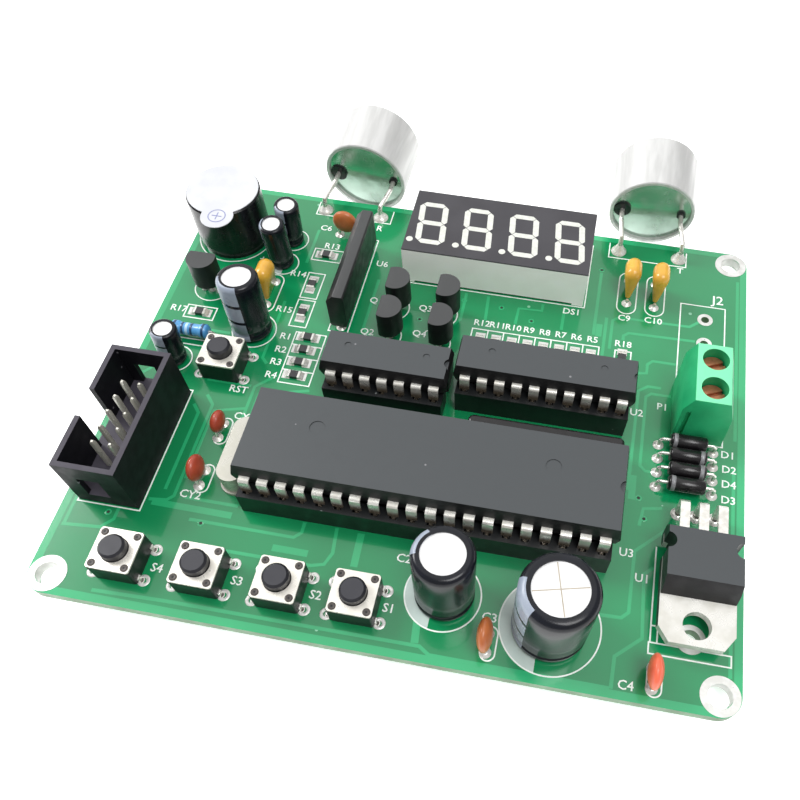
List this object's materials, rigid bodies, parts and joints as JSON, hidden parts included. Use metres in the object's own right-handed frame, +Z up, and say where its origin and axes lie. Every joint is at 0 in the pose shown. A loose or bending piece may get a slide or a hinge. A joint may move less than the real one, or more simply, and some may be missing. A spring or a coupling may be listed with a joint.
{
  "type": "ultrasonic distance meter board",
  "caption": "Assembled circuit board with a pair of ultrasonic transducers, numeric display, socketed chips, push switches, box header, buzzer and screw terminal.",
  "frame": {"origin": "middle of the four mounting holes, on the board's underside", "axes": "+X to the board's right as seen from its component side with the transducers at the back, +Y towards the transducers, +Z up through the components"},
  "size_m": [0.0944, 0.0933, 0.017],
  "materials": {
    "green_mask": "gloss",
    "tin": "satin",
    "black_plastic": "satin",
    "grey_plastic": "matte",
    "gloss_black": "gloss",
    "steel": "satin",
    "aluminium": "satin",
    "white_plastic": "satin",
    "display_grey": "satin",
    "label_paper": "matte",
    "copper_works": "satin",
    "rubber": "matte",
    "ceramic_orange": "satin",
    "dipped_yellow": "gloss",
    "resistor_blue": "satin",
    "resistor_black": "satin",
    "terminal_green": "satin",
    "screw_brass": "satin",
    "nickel": "satin",
    "copper_tab": "satin"
  },
  "bodies": {
    "board": {"circuit_board": "green_mask", "tinned_lands": "tin", "solder_joints": "tin", "mcu_socket": "black_plastic", "driver_socket": "black_plastic", "inverter_socket": "black_plastic", "socket_contacts": "tin", "receiver_chip": "grey_plastic", "resistor_network": "black_plastic", "sip_leads": "tin", "crystal_can": "nickel", "display_housing": "white_plastic", "display_face": "display_grey", "display_segments": "white_plastic", "display_pins": "tin", "transmitter_can": "aluminium", "receiver_can": "aluminium", "transducer_works": "aluminium", "transducer_grilles": "grey_plastic", "transducer_beads": "gloss_black", "transducer_leads": "tin", "buzzer_case": "gloss_black", "buzzer_label": "label_paper", "buzzer_works": "copper_works", "buzzer_pins": "tin", "capacitor_cans": "aluminium", "capacitor_sleeves": "gloss_black", "capacitor_bungs": "rubber", "transistors": "black_plastic", "disc_capacitors": "ceramic_orange", "dipped_capacitors": "dipped_yellow", "diodes": "gloss_black", "film_resistor": "resistor_blue", "chip_resistors": "resistor_black", "small_part_leads": "tin", "header_shell": "black_plastic", "header_pins": "nickel", "terminal_housing": "terminal_green", "terminal_contacts": "tin", "regulator_moulding": "grey_plastic", "regulator_tab": "copper_tab", "regulator_leads": "tin", "switch_bases": "black_plastic", "switch_plates_and_domes": "nickel", "switch_legs": "tin"},
    "mcu": {"mcu_chip": "grey_plastic", "mcu_chip_leads": "tin"},
    "driver": {"driver_chip": "grey_plastic", "driver_chip_leads": "tin"},
    "inverter": {"inverter_chip": "grey_plastic", "inverter_chip_leads": "tin"},
    "front_screw": {"terminal_screw_front": "screw_brass"},
    "back_screw": {"terminal_screw_back": "screw_brass"},
    "front_clamp": {"terminal_clamp_front": "nickel"},
    "back_clamp": {"terminal_clamp_back": "nickel"},
    "button_1": {"button_1": "black_plastic"},
    "button_2": {"button_2": "black_plastic"},
    "button_3": {"button_3": "black_plastic"},
    "button_4": {"button_4": "black_plastic"},
    "reset_button": {"reset_button": "black_plastic"}
  },
  "joints": [
    {"name": "button_1_press", "type": "slide", "parent": "board", "child": "button_1", "axis": [0, 0, -1], "range_m": [0, 0.00025], "stiffness_N_per_m": 6000, "springref_m": -0.0001},
    {"name": "button_2_press", "type": "slide", "parent": "board", "child": "button_2", "axis": [0, 0, -1], "range_m": [0, 0.00025], "stiffness_N_per_m": 6000, "springref_m": -0.0001},
    {"name": "button_3_press", "type": "slide", "parent": "board", "child": "button_3", "axis": [0, 0, -1], "range_m": [0, 0.00025], "stiffness_N_per_m": 6000, "springref_m": -0.0001},
    {"name": "button_4_press", "type": "slide", "parent": "board", "child": "button_4", "axis": [0, 0, -1], "range_m": [0, 0.00025], "stiffness_N_per_m": 6000, "springref_m": -0.0001},
    {"name": "reset_button_press", "type": "slide", "parent": "board", "child": "reset_button", "axis": [0, 0, -1], "range_m": [0, 0.00025], "stiffness_N_per_m": 6000, "springref_m": -0.0001},
    {"name": "front_screw_turn", "type": "hinge", "parent": "board", "child": "front_screw", "pos_m": [0.0399, 0.00251, 0.0096], "axis": [0, 0, -1], "range_deg": [0, 1296]},
    {"name": "front_clamp_rise", "type": "slide", "parent": "board", "child": "front_clamp", "axis": [0, 0, 1], "range_m": [0, 0.0018]},
    {"name": "back_screw_turn", "type": "hinge", "parent": "board", "child": "back_screw", "pos_m": [0.0399, 0.00759, 0.0096], "axis": [0, 0, -1], "range_deg": [0, 1296]},
    {"name": "back_clamp_rise", "type": "slide", "parent": "board", "child": "back_clamp", "axis": [0, 0, 1], "range_m": [0, 0.0018]},
    {"name": "mcu_lift_out", "type": "slide", "parent": "board", "child": "mcu", "axis": [0, 0, 1], "range_m": [0, 0.012]},
    {"name": "driver_lift_out", "type": "slide", "parent": "board", "child": "driver", "axis": [0, 0, 1], "range_m": [0, 0.012]},
    {"name": "inverter_lift_out", "type": "slide", "parent": "board", "child": "inverter", "axis": [0, 0, 1], "range_m": [0, 0.012]}
  ],
  "couplings": [
    {"joint": "front_screw_turn", "follows": "front_clamp_rise", "rad_per_m": 12566},
    {"joint": "back_screw_turn", "follows": "back_clamp_rise", "rad_per_m": 12566}
  ]
}
